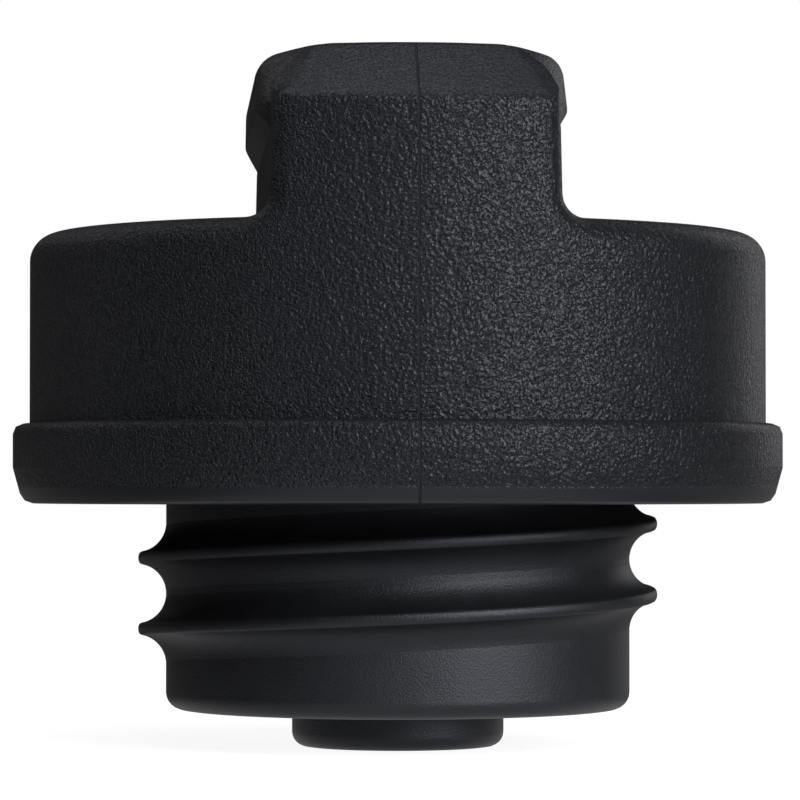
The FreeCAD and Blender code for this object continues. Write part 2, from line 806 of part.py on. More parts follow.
def scroll_slot():
    """Slot of even width along the scroll, with round ends."""
    half = bolt_pin_diameter / 2 + slide_gap
    depth = cam_thickness + 2 * cutter_margin
    turns = [cam_turn * i / scroll_steps for i in range(scroll_steps + 1)]
    outer = Part.BSplineCurve()
    outer.interpolate([scroll_point(t, half) for t in turns])
    inner = Part.BSplineCurve()
    inner.interpolate([scroll_point(t, -half) for t in reversed(turns)])
    slot = Part.Face(Part.Wire([
        outer.toShape(), Part.makeLine(outer.EndPoint, inner.StartPoint),
        inner.toShape(), Part.makeLine(inner.EndPoint, outer.StartPoint),
    ])).extrude(FreeCAD.Vector(0, 0, depth))
    for turn in (0.0, cam_turn):
        end = scroll_point(turn, 0)
        slot = slot.fuse(rod(half, 0, depth, end.x, end.y))
    slot.translate(FreeCAD.Vector(0, 0, cam_bottom - cutter_margin))
    return slot


def lock_cam():
    solid = rod(cam_diameter / 2, cam_bottom, cam_top)
    square = rotor_tail_square / 2 + fit_gap
    below = cam_bottom - cutter_margin
    solid = solid.cut(block(-square, square, -square, square, below, cam_top + cutter_margin))
    slot = scroll_slot()
    return solid.cut(slot).cut(spun(slot, 180))


def cam_screw():
    head = rod(cam_screw_head_diameter / 2, cam_bottom - cam_screw_head_height, cam_bottom)
    shank = rod(cam_screw_diameter / 2, cam_bottom, cam_bottom + cam_screw_length - slide_gap)
    return head.fuse(shank)


bolt_tip = drive_ring_bore - bolt_tip_gap
bolt_shoulder = bolt_tip - bolt_tip_length


def lock_bolt_right():
    wide = bolt_width / 2
    narrow = bolt_tip_width / 2
    soft = bolt_tip_chamfer
    half = [
        (bolt_inner_end, wide, soft), (bolt_shoulder, wide), (bolt_shoulder, narrow),
        (bolt_tip, narrow, soft),
    ]
    mirrored = [(c[0], -c[1]) + c[2:] for c in reversed(half)]
    plate = outline(half + mirrored, flat).extrude(FreeCAD.Vector(0, 0, bolt_thickness))
    plate.translate(FreeCAD.Vector(0, 0, bolt_bottom))
    return plate.fuse(rod(bolt_pin_diameter / 2, bolt_top, bolt_top + bolt_pin_height, cam_rest_radius))


def bolt_carrier():
    """Moulded disc: a cup for the cam on top and the bolts' channel below, open to the keeper."""
    below = carrier_bottom - cutter_margin
    above = carrier_top + cutter_margin
    beyond = carrier_radius + cutter_margin
    solid = rod(carrier_radius, carrier_bottom, carrier_top)
    solid = solid.cut(rod(cam_recess_radius, channel_top, above))
    wide = bolt_width / 2 + slide_gap
    narrow = bolt_tip_width / 2 + slide_gap
    stop = carrier_radius - channel_stop
    solid = solid.cut(block(-stop, stop, -wide, wide, below, channel_top))
    solid = solid.cut(block(-beyond, beyond, -narrow, narrow, below, channel_top))
    for x, y in screw_spots():
        solid = solid.cut(rod(screw_diameter / 2 + slide_gap, below, above, x, y))
    return solid


def bolt_keeper():
    below = keeper_bottom - cutter_margin
    above = carrier_bottom + cutter_margin
    solid = tube(carrier_radius, keeper_bore / 2, keeper_bottom, carrier_bottom)
    for x, y in screw_spots():
        solid = solid.cut(rod(screw_diameter / 2 + slide_gap, below, above, x, y))
    return solid


def carrier_screws():
    screws = []
    for x, y in screw_spots():
        head = rod(screw_head_diameter / 2, keeper_bottom - screw_head_height, keeper_bottom, x, y)
        screws.append(head.fuse(rod(screw_diameter / 2, keeper_bottom, carrier_top + screw_bite, x, y)))
    return Part.makeCompound(screws)


right_bolt = lock_bolt_right()

os.makedirs("parts", exist_ok=True)
pieces = {
    "threaded_plug": threaded_plug(),
    "seal_ring": seal_ring(),
    "valve_housing": valve_housing(),
    "spring_cap": spring_cap(),
    "pressure_spring": pressure_spring(),
    "pressure_valve": pressure_valve(),
    "valve_gasket": valve_gasket(),
    "vacuum_spring": vacuum_spring(),
    "vacuum_valve": vacuum_valve(),
    "vacuum_clip": vacuum_clip(),
    "grip_cover": grip_cover(),
    "retainer_ring": retainer_ring(),
    "lock_housing": lock_housing(),
    "housing_clip": housing_clip(),
    "bolt_carrier": bolt_carrier(),
    "bolt_keeper": bolt_keeper(),
    "carrier_screws": carrier_screws(),
    "lock_rotor": lock_rotor(),
    "wafer_tumblers": wafer_tumblers(),
    "rotor_clip": rotor_clip(),
    "rotor_face_cap": rotor_face_cap(),
    "shutter_pin": shutter_pin(),
    "shutter_spring": shutter_spring(),
    "lock_cam": lock_cam(),
    "cam_screw": cam_screw(),
    "dust_shutter": dust_shutter(),
    "lock_bolt_right": right_bolt,
    "lock_bolt_left": spun(right_bolt, 180),
}

for name, shape in pieces.items():
    shape.exportStep(os.path.join("parts", name + ".step"))
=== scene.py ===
import json
import math

import bpy
from mathutils import Matrix, Vector

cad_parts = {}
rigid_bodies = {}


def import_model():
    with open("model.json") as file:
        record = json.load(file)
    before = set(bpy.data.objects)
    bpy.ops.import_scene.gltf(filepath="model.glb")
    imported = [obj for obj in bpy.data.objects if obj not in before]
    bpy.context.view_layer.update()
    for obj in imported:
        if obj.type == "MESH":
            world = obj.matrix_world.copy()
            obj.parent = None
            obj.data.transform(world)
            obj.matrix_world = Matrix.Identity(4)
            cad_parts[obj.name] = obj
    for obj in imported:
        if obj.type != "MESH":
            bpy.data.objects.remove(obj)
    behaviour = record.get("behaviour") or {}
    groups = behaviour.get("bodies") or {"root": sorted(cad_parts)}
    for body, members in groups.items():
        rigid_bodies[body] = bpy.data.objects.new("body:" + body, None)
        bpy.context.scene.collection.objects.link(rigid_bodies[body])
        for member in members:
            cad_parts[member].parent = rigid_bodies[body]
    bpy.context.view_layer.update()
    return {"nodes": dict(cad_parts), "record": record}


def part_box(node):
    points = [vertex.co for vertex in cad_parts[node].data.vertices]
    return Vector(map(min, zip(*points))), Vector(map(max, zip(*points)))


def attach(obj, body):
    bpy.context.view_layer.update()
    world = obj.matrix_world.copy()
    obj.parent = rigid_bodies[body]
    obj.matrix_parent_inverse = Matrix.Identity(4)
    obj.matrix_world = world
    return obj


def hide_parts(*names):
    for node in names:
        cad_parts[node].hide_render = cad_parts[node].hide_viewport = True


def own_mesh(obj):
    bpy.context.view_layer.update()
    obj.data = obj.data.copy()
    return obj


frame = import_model()

bl_info = {
    "name": "Locking fuel cap",
    "version": (1, 0, 0),
    "blender": (4, 5, 0),
    "location": "View3D > Sidebar > Fuel cap",
    "description": "Models a locking fuel cap round its CAD frame, with its finishes and a stage",
    "category": "Add Mesh",
}

MM = 0.001
MERGE = 1e-7
FLAT_ANGLE = math.radians(0.2)
ROUND_STEPS = 6
LARGE_FACE_WEIGHT = 60
SPRING_SLACK = 0.995
WHITE = (1, 1, 1, 1)
COOL = (0.84, 0.87, 1.0, 1.0)

# Levels on the cover in millimetres: the grain starts above the flange's bottom band, and is fainter by
# the share SLOPE_POLISH from the foot of the handle's slopes upwards
GRAIN_END = 23.3
GRAIN_FADE = 0.25
SLOPE_FOOT = 55.4
SLOPE_FADE = 0.6
SLOPE_POLISH = 0.7

# Painted reflections on the cap: for glossy rays only, the floor glows in a round patch under the cap and
# a soft card in front of it, though no lamp is there. Each edge goes from one distance to another, in
# metres
PATCH_EDGE = (0.02, 0.04)
PATCH_GLOW = 0.5
CARD_NEAR_EDGE = (0.015, 0.04)
CARD_FAR_EDGE = (0.07, 0.12)
CARD_SIDE_EDGE = (0.02, 0.06)
CARD_GLOW = 0.5

FLOOR_RADIUS = 0.7
FLOOR_SIDES = 96
FLOOR_WHITE = 0.92
AMBIENT = 0.04

# Soft boxes: name, azimuth and elevation in degrees, distance, width and height in metres, power in watts.
# Azimuth 0 is the side of the photograph, growing towards +X
LAMPS = (
    ("key", 41, 14, 0.75, 0.68, 0.60, 7.4),
    ("top", 0, 84, 0.80, 0.80, 0.60, 2.2),
    ("front", 10, 34, 0.80, 0.42, 0.36, 1.3),
    ("rim_right", 146, 12, 0.80, 0.20, 0.60, 0.4),
    ("rim_left", -142, 36, 0.80, 0.30, 0.40, 0.22),
)
LAMP_TARGET = Vector((0, 0, 0.035))
SENSOR_WIDTH = 36.0
CLIP_START = 0.01


# Sizes and colours

class CoverSettings(bpy.types.PropertyGroup):
    """Grained outer cover with its flange and bar handle."""

    colour: bpy.props.FloatVectorProperty(
        name="Cover colour", description="Black of the moulded cover", subtype="COLOR", size=3,
        min=0.0, max=1.0, default=(0.0085, 0.0090, 0.0108))
    grain_size: bpy.props.FloatProperty(
        name="Grain size", description="Distance between two pits of the spark-eroded grain",
        subtype="DISTANCE", unit="LENGTH", default=0.55 * MM)
    grain_depth: bpy.props.FloatProperty(
        name="Grain depth", description="Depth of the pits", subtype="DISTANCE", unit="LENGTH",
        default=0.18 * MM)
    seam_width: bpy.props.FloatProperty(
        name="Parting line", description="Width of the fine line where the mould halves met",
        subtype="DISTANCE", unit="LENGTH", default=0.13 * MM)


class PlugSettings(bpy.types.PropertyGroup):
    """Threaded plug with its drive ring."""

    colour: bpy.props.FloatVectorProperty(
        name="Plug colour", description="Black of the moulded plug", subtype="COLOR", size=3,
        min=0.0, max=1.0, default=(0.0085, 0.0089, 0.0102))
    radius: bpy.props.FloatProperty(
        name="Plug radius", description="Radius of the plain wall between the threads",
        subtype="DISTANCE", unit="LENGTH", default=20.8 * MM)
    thread_depth: bpy.props.FloatProperty(
        name="Thread depth", description="Height of the crest above the wall",
        subtype="DISTANCE", unit="LENGTH", default=2.5 * MM)
    pitch: bpy.props.FloatProperty(
        name="Thread pitch", description="Rise of the thread in one turn", subtype="DISTANCE",
        unit="LENGTH", default=6.35 * MM)
    turns: bpy.props.FloatProperty(
        name="Thread turns", description="Length of the thread in turns", default=2.24)
    start_angle: bpy.props.FloatProperty(
        name="Thread start", description="Where the thread begins, round the axis from +X",
        subtype="ANGLE", unit="ROTATION", default=math.radians(100))
    first_crest: bpy.props.FloatProperty(
        name="First crest", description="Level of the crest where the thread begins",
        subtype="DISTANCE", unit="LENGTH", default=9.1 * MM)
    groove_radius: bpy.props.FloatProperty(
        name="Groove radius", description="Radius of the round groove between two crests",
        subtype="DISTANCE", unit="LENGTH", default=2.67 * MM)
    notches: bpy.props.IntProperty(
        name="Drive notches", description="Notches of the drive ring, for the bolts", default=12)


class LockSettings(bpy.types.PropertyGroup):
    """Lock cylinder in the top of the handle."""

    edge: bpy.props.FloatProperty(
        name="Edge round", description="Round on the edges of the lock's small parts",
        subtype="DISTANCE", unit="LENGTH", default=0.12 * MM)
    steel: bpy.props.FloatVectorProperty(
        name="Face colour", description="Colour of the steel face plate", subtype="COLOR", size=3,
        min=0.0, max=1.0, default=(0.52, 0.53, 0.54))
    zinc: bpy.props.FloatVectorProperty(
        name="Collar colour", description="Colour of the die-cast sleeve", subtype="COLOR", size=3,
        min=0.0, max=1.0, default=(0.36, 0.365, 0.375))


class StageSettings(bpy.types.PropertyGroup):
    """Floor, light and camera."""

    distance: bpy.props.FloatProperty(
        name="Camera distance", description="From the cap's axis to the camera", subtype="DISTANCE",
        unit="LENGTH", default=387.0 * MM)
    lens: bpy.props.FloatProperty(
        name="Lens", description="Focal length in millimetres on a 36 mm sensor", default=193.6)
    height: bpy.props.FloatProperty(
        name="Camera height", description="Level of the camera above the floor", subtype="DISTANCE",
        unit="LENGTH", default=23.4 * MM)
    azimuth: bpy.props.FloatProperty(
        name="Camera azimuth", description="Turn of the camera round the cap, towards +X",
        subtype="ANGLE", unit="ROTATION", default=math.radians(-3.1))
    tilt: bpy.props.FloatProperty(
        name="Camera tilt", description="Upward tilt of the camera", subtype="ANGLE", unit="ROTATION",
        default=math.radians(1.13))
    pan: bpy.props.FloatProperty(
        name="Camera pan", description="Turn of the camera to its right, away from the axis",
        subtype="ANGLE", unit="ROTATION", default=math.radians(0.03))
    floor_colour: bpy.props.FloatVectorProperty(
        name="Floor colour", description="Pale floor", subtype="COLOR", size=3, min=0.0, max=1.0,
        default=(0.30, 0.30, 0.30))


# Modelling by hand

def deselect_all():
    bpy.ops.object.select_all(action="DESELECT")


def pick(piece):
    """Selects one object alone and makes it the active one."""
    deselect_all()
    piece.select_set(True)
    bpy.context.view_layer.objects.active = piece


def edit(piece):
    """Opens one piece in edit mode, alone and selected all over."""
    pick(piece)
    bpy.ops.object.mode_set(mode="EDIT")
    bpy.ops.mesh.select_all(action="SELECT")


def done():
    """Leaves edit mode and hands the piece back."""
    bpy.ops.object.mode_set(mode="OBJECT")
    return bpy.context.object


def rounded(corners):
    """Points (radius, z) along a profile of corners (radius, z) or (radius, z, round)."""
    full = [tuple(c) + (0,) * (3 - len(c)) for c in corners]
    points = []
    for i, (u, v, size) in enumerate(full):
        corner = Vector((u, v))
        if size == 0:
            points.append(corner)
            continue
        to_before = (Vector(full[i - 1][:2]) - corner).normalized()
        to_after = (Vector(full[(i + 1) % len(full)][:2]) - corner).normalized()
        half = to_before.angle(to_after) / 2
        middle = (to_before + to_after).normalized()
        centre = corner + middle * size / math.sin(half)
        first = corner + to_before * size / math.tan(half) - centre
        last = corner + to_after * size / math.tan(half) - centre
        sweep = first.angle_signed(last)
        for k in range(ROUND_STEPS + 1):
            points.append(centre + Matrix.Rotation(-sweep * k / ROUND_STEPS, 2) @ first)
    return points


def draw_line(name, points):
    """A new piece with one line through points, drawn by extruding a vertex from each to the next."""
    deselect_all()
    bpy.ops.mesh.primitive_plane_add(size=MM)
    piece = bpy.context.object
    piece.name = name
    piece.data.name = name
    edit(piece)
    bpy.ops.mesh.merge(type="CENTER")
    bpy.ops.transform.translate(value=points[0])
    for here, there in zip(points, points[1:]):
        bpy.ops.mesh.extrude_vertices_move(TRANSFORM_OT_translate={"value": there - here})
    bpy.ops.mesh.select_all(action="SELECT")
    bpy.ops.mesh.remove_doubles(threshold=MERGE)
    return done()


def turn(name, corners, sides=128):
    """A turned piece: a closed profile of (radius, z) corners in millimetres, spun round the axis."""
    profile = rounded(corners)
    points = [Vector((u, 0, v)) * MM for u, v in profile + profile[:1]]
    piece = draw_line(name, points)
    edit(piece)
    bpy.ops.mesh.spin(steps=sides, angle=math.tau, center=(0, 0, 0), axis=(0, 0, 1))
    bpy.ops.mesh.select_all(action="SELECT")
    bpy.ops.mesh.remove_doubles(threshold=MERGE)
    bpy.ops.mesh.normals_make_consistent(inside=False)
    return done()


def finish_with(piece, kind, **settings):
    """Adds a modifier, sets it and applies it."""
    pick(piece)
    modifier = piece.modifiers.new(kind.title(), kind)
    for key, value in settings.items():
        setattr(modifier, key, value)
    bpy.ops.object.modifier_apply(modifier=modifier.name)


def combine(piece, tool, operation):
    """Joins another closed piece to this one or cuts it out, and removes the tool."""
    finish_with(piece, "BOOLEAN", object=tool, operation=operation, solver="EXACT")
    bpy.data.objects.remove(tool)
    edit(piece)
    bpy.ops.mesh.remove_doubles(threshold=MERGE)
    done()


def smooth(piece, angle=40.0):
    """Smooth shading up to an angle between two faces, with normals led by the large faces."""
    pick(piece)
    bpy.ops.object.shade_smooth_by_angle(angle=math.radians(angle))
    finish_with(piece, "WEIGHTED_NORMAL", keep_sharp=True, weight=LARGE_FACE_WEIGHT)


def merged_copy(node, name):
    """An own copy of a CAD node, its loose triangles joined and its flat faces made whole."""
    pick(frame["nodes"][node])
    bpy.ops.object.duplicate(linked=False)
    piece = bpy.context.object
    bpy.ops.object.parent_clear(type="CLEAR_KEEP_TRANSFORM")
    piece.name = name
    piece.data.name = name
    for key in list(piece.keys()):
        del piece[key]
    if piece.data.has_custom_normals:
        bpy.ops.mesh.customdata_custom_splitnormals_clear()
    edit(piece)
    bpy.ops.mesh.remove_doubles(threshold=MERGE)
    bpy.ops.mesh.dissolve_limited(angle_limit=FLAT_ANGLE)
    return done()


def place(piece, body, node, finish):
    """Seats a finished piece on its body in the place of a CAD node."""
    piece.data.materials.clear()
    piece.data.materials.append(finish)
    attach(piece, body)
    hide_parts(node)


# Finishes

class Wire:
    """A socket of a material; sums on it add Math nodes."""

    def __init__(self, tree, socket):
        self.tree = tree
        self.socket = socket

    def node(self, kind, settings, inputs, output=0):
        """Adds a node: its settings first, then the values or wires of its sockets."""
        made = self.tree.nodes.new(kind)
        for key, value in settings.items():
            setattr(made, key, value)
        for key, value in inputs.items():
            if isinstance(value, Wire):
                self.tree.links.new(value.socket, made.inputs[key])
            else:
                made.inputs[key].default_value = value
        return Wire(self.tree, made.outputs[output])

    def math(self, operation, a, b=0.0):
        return self.node("ShaderNodeMath", {"operation": operation}, {0: a, 1: b})

    def __add__(self, other):
        return self.math("ADD", self, other)

    def __radd__(self, other):
        return self.math("ADD", other, self)

    def __sub__(self, other):
        return self.math("SUBTRACT", self, other)

    def __rsub__(self, other):
        return self.math("SUBTRACT", other, self)

    def __mul__(self, other):
        return self.math("MULTIPLY", self, other)

    def __rmul__(self, other):
        return self.math("MULTIPLY", other, self)

    def __truediv__(self, other):
        return self.math("DIVIDE", self, other)

    def step(self, low, high):
        """0 below low, 1 above high, smooth between."""
        return self.node(
            "ShaderNodeMapRange", {"interpolation_type": "SMOOTHSTEP"},
            {"Value": self, "From Min": low, "From Max": high})

    def noise(self, scale, detail=2.0, roughness=0.5, distortion=0.0):
        return self.node(
            "ShaderNodeTexNoise", {"noise_dimensions": "3D"},
            {"Vector": self, "Scale": scale, "Detail": detail, "Roughness": roughness,
             "Distortion": distortion})

    def blend(self, low, high):
        """Colour between two, by this wire."""
        return self.node(
            "ShaderNodeMix", {"data_type": "RGBA"}, {"Factor": self, 6: (*low, 1), 7: (*high, 1)}, 2)

    def split(self, axis):
        return self.node("ShaderNodeSeparateXYZ", {}, {"Vector": self}, axis)


class Finish:
    """A material under way: its shader and the piece's own coordinates in millimetres."""

    def __init__(self, name, **constants):
        self.material = bpy.data.materials.new(name)
        self.material.use_nodes = True
        self.tree = self.material.node_tree
        self.tree.nodes.clear()
        self.shader = self.tree.nodes.new("ShaderNodeBsdfPrincipled")
        output = self.tree.nodes.new("ShaderNodeOutputMaterial")
        self.tree.links.new(self.shader.outputs["BSDF"], output.inputs["Surface"])
        for key, value in constants.items():
            socket = key.replace("_", " ").title().replace("Ior", "IOR")
            self.shader.inputs[socket].default_value = value
        coordinates = self.tree.nodes.new("ShaderNodeTexCoord")
        here = Wire(self.tree, coordinates.outputs["Object"])
        self.here = here.node(
            "ShaderNodeVectorMath", {"operation": "SCALE"}, {0: here, "Scale": 1 / MM})

    def put(self, socket, wire):
        self.tree.links.new(wire.socket, self.shader.inputs[socket])

    def bump(self, height, depth):
        """Relief from a height of 0 to 1, with its depth in metres."""
        made = height.node(
            "ShaderNodeBump", {}, {"Strength": 1.0, "Distance": depth, "Height": height})
        self.put("Normal", made)

    def radius(self):
        x, y = self.here.split("X"), self.here.split("Y")
        return self.here.math("SQRT", x * x + y * y)


def scaled(colour, share):
    return tuple(c * share for c in colour)


def grained_black():
    """Black moulding with the pitted grain that spark erosion leaves in the tool, and a parting line, with
    painted shade in the pits and along the line.
    """
    settings = bpy.context.scene.fuel_cap_cover
    finish = Finish("cover_grained_black", specular_ior_level=0.42, specular_tint=COOL)
    here = finish.here
    per_mm = MM / settings.grain_size

    def clouds(scale):
        return here.noise(per_mm * scale, detail=0.6, distortion=0.3)

    pebbles = clouds(2.8).step(0.34, 0.50)
    veins = here.math("ABSOLUTE", clouds(2.3) - 0.5).step(0.0, 0.03)
    swell = clouds(1.5).step(0.3, 0.7)
    wander = here.noise(per_mm * 0.5, detail=1.0)
    vein_share, swell_share, wander_share = 0.45, 0.35, 0.5

    level = here.split("Z")
    above_band = level.step(GRAIN_END - GRAIN_FADE, GRAIN_END + GRAIN_FADE)
    on_slope = level.step(SLOPE_FOOT, SLOPE_FOOT + SLOPE_FADE)
    grained = above_band * (1 - SLOPE_POLISH * on_slope)
    tops = pebbles * (veins * vein_share + (1 - vein_share))
    pits = (1 - tops) * (wander * wander_share + (1 - wander_share / 2)) * grained

    off_seam = here.math("ABSOLUTE", here.split("X")) * MM / settings.seam_width
    seam = 1 - off_seam.step(0.5, 1.0)
    seam_depth = 0.5
    height = 1 - (pits - swell * grained * swell_share) * (1 - seam) - seam * seam_depth
    # Painted shade: the base colour falls to 0.3 of the cover colour in the pits and along the parting
    # line, and is 1.15 of it on the tops
    painted_shade = here.math("MAXIMUM", pits, seam)
    finish.bump(height, settings.grain_depth)
    finish.put("Base Color", painted_shade.blend(scaled(settings.colour, 1.15), scaled(settings.colour, 0.3)))
    finish.put("Roughness", 0.34 + pits * 0.10 + seam * 0.4 + here.noise(9.0) * 0.06)
    return finish.material


def satin_black(name, colour):
    """Black moulding straight from a polished tool, with a fine matt skin and faint flow marks."""
    finish = Finish(name, specular_ior_level=0.45, specular_tint=COOL)
    skin = finish.here.noise(6.2, detail=1.5, distortion=0.4)
    flow = finish.here.noise(0.22, distortion=0.8)
    finish.bump(skin.step(0.30, 0.66), 0.014 * MM)
    finish.put("Base Color", flow.step(0.3, 0.7).blend(scaled(colour, 0.85), scaled(colour, 1.15)))
    finish.put("Roughness", 0.36 + skin * 0.10 + flow * 0.06)
    return finish.material


def rubber(name, colour):
    """Nitrile rubber: matt, with a dusty bloom."""
    finish = Finish(name, specular_ior_level=0.3)
    skin = finish.here.noise(3.2, detail=4.0, roughness=0.65)
    bloom = finish.here.noise(0.35, detail=3.0)
    finish.bump(skin, 0.02 * MM)
    finish.put("Base Color", bloom.step(0.35, 0.75).blend(scaled(colour, 0.8), scaled(colour, 1.7)))
    finish.put("Roughness", 0.62 + skin * 0.16)
    return finish.material


def moulded(name, colour):
    """Plain coloured moulding of the hidden plastic parts."""
    finish = Finish(name, specular_ior_level=0.45)
    skin = finish.here.noise(2.6, detail=3.0)
    flow = finish.here.noise(0.3)
    finish.bump(skin, 0.01 * MM)
    finish.put("Base Color", flow.step(0.25, 0.75).blend(scaled(colour, 0.92), scaled(colour, 1.06)))
    finish.put("Roughness", 0.42 + skin * 0.1)
    return finish.material


def cast_metal(name, colour, roughness=0.38):
    """Die-cast or plated metal with a faintly mottled, tumbled skin."""
    finish = Finish(name, metallic=1.0)
    mottle = finish.here.noise(0.9, detail=4.0, roughness=0.6)
    peen = finish.here.noise(4.5)
    finish.bump(peen * 0.6 + mottle * 0.4, 0.012 * MM)
    finish.put("Base Color", mottle.step(0.3, 0.7).blend(scaled(colour, 0.85), scaled(colour, 1.08)))
    finish.put("Roughness", roughness + (mottle - 0.5) * 0.2)
    return finish.material


def brushed_metal(name, colour):
    """Steel with the fine rings that a lathe or a turning brush leaves."""
    finish = Finish(name, metallic=1.0)
    wobble = finish.here.noise(0.6) * 0.06
    ring = finish.radius() + wobble
    lines = ring.node(
        "ShaderNodeTexNoise", {"noise_dimensions": "1D"},
        {"W": ring, "Scale": 16.0, "Detail": 3.0, "Roughness": 0.6})
    finish.bump(lines, 0.006 * MM)
    finish.put("Base Color", lines.step(0.3, 0.7).blend(scaled(colour, 0.88), scaled(colour, 1.05)))
    finish.put("Roughness", 0.26 + lines * 0.16)
    return finish.material


# Operators

class FUELCAP_OT_cover(bpy.types.Operator):
    """Grained outer cover with its flange, bar handle and parting line"""

    bl_idname = "fuel_cap.cover"
    bl_label = "Outer cover"

    def execute(self, context):
        cover = merged_copy("grip_cover", "outer_cover")
        smooth(cover, 62.0)
        place(cover, "grip", "grip_cover", grained_black())
        return {"FINISHED"}


class FUELCAP_OT_plug(bpy.types.Operator):
    """Threaded plug: a turned cup, the round-grooved thread and the notched drive ring"""

    bl_idname = "fuel_cap.plug"
    bl_label = "Threaded plug"

    def execute(self, context):
        settings = context.scene.fuel_cap_plug
        low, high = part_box("threaded_plug")
        bottom, top = low.z / MM, high.z / MM
        wall = settings.radius / MM
        hole, bore, floor = 7.65, 18.4, 5.95
        flange, flange_low, flange_top = 30.3, 27.95, 30.15
        ring_inner, ring_outer = 24.0, 27.0
        foot_round, ring_round = 1.5, 0.3
        plug = turn("plug", [
            (hole, bottom), (wall, bottom, foot_round), (wall, flange_low), (flange, flange_low),
            (flange, flange_top), (ring_outer, flange_top), (ring_outer, top, ring_round),
            (ring_inner, top, ring_round), (ring_inner, flange_top), (bore, flange_top), (bore, floor),
            (hole, floor),
        ], sides=160)
        combine(plug, self.thread(settings), "UNION")
        combine(plug, self.notches(settings, flange_top, top), "DIFFERENCE")
        smooth(plug)
        finish = satin_black("plug_satin_black", settings.colour)
        place(plug, "plug", "threaded_plug", finish)
        return {"FINISHED"}

    def thread(self, settings):
        """The ridge: a narrow crest between two round grooves, wound up and tapered at both ends."""
        root_sink, half_floor = 0.5, 0.3
        flank_steps, flank_end = 12, math.radians(80)
        crest_angles = (30, 60, 90)
        steps_per_turn = 120
        groove = settings.groove_radius / MM
        depth = settings.thread_depth / MM
        wall = settings.radius / MM
        root = wall - root_sink
        half = settings.pitch / MM / 2
        foot = half - half_floor
        flank_start = math.asin((half - foot) / groove)
        flank = []
        for k in range(flank_steps + 1):
            a = flank_start + (flank_end - flank_start) * k / flank_steps
            flank.append((wall + groove * (1 - math.cos(a)), half - groove * math.sin(a)))
        shoulder_u, shoulder_v = flank[-1]
        crest = [
            (shoulder_u + (depth + wall - shoulder_u) * math.sin(math.radians(t)),
             shoulder_v * math.cos(math.radians(t)))
            for t in crest_angles
        ]
        upper = [(root, foot)] + flank + crest
        lower = [(u, -v) for u, v in reversed(upper[:-1])]
        section = upper + lower
        points = [Vector((u, 0, v)) * MM for u, v in section + section[:1]]
        ridge = draw_line("thread", points)
        steps = int(settings.turns * steps_per_turn)
        finish_with(
            ridge, "SCREW", axis="Z", angle=math.tau * settings.turns, steps=steps, render_steps=steps,
            screw_offset=settings.pitch * settings.turns, use_merge_vertices=False)
        self.taper(ridge, settings, root * MM)
        edit(ridge)
        bpy.ops.mesh.remove_doubles(threshold=MERGE)
        bpy.ops.mesh.fill_holes(sides=0)
        bpy.ops.mesh.select_all(action="SELECT")
        bpy.ops.mesh.normals_make_consistent(inside=False)
        bpy.ops.transform.translate(value=(0, 0, settings.first_crest))
        bpy.ops.transform.rotate(
            value=-settings.start_angle, orient_axis="Z", center_override=(0, 0, 0))
        return done()

    def taper(self, ridge, settings, root):
        """Brings the crest down into the wall over the first and the last part of the turn."""
        ramp = math.radians(26)
        whole = math.tau * settings.turns
        for vertex in ridge.data.vertices:
            x, y, z = vertex.co
            angle = math.atan2(y, x) % math.tau
            lap = round(z / settings.pitch - angle / math.tau)
            along = angle + lap * math.tau
            share = min(along, whole - along) / ramp
            share = min(max(share, 0.0), 1.0)
            share = share * share * (3 - 2 * share)
            reach = math.hypot(x, y)
            factor = (root + (reach - root) * share) / reach
            vertex.co = (x * factor, y * factor, z)

    def notches(self, settings, floor, top):
        """The cutters of the drive ring's notches, modelled once and copied round."""
        depth, width, over, middle = 3.0, 4.4, 1.0, 24.5
        deselect_all()
        bpy.ops.mesh.primitive_cube_add(size=MM)
        edit(bpy.context.object)
        bpy.ops.transform.resize(value=(depth, width, top - floor + over))
        bpy.ops.transform.translate(value=(middle * MM, 0, (floor + top + over) / 2 * MM))
        for _ in range(1, settings.notches):
            bpy.ops.mesh.duplicate()
            bpy.ops.transform.rotate(
                value=math.tau / settings.notches, orient_axis="Z", center_override=(0, 0, 0))
        return done()


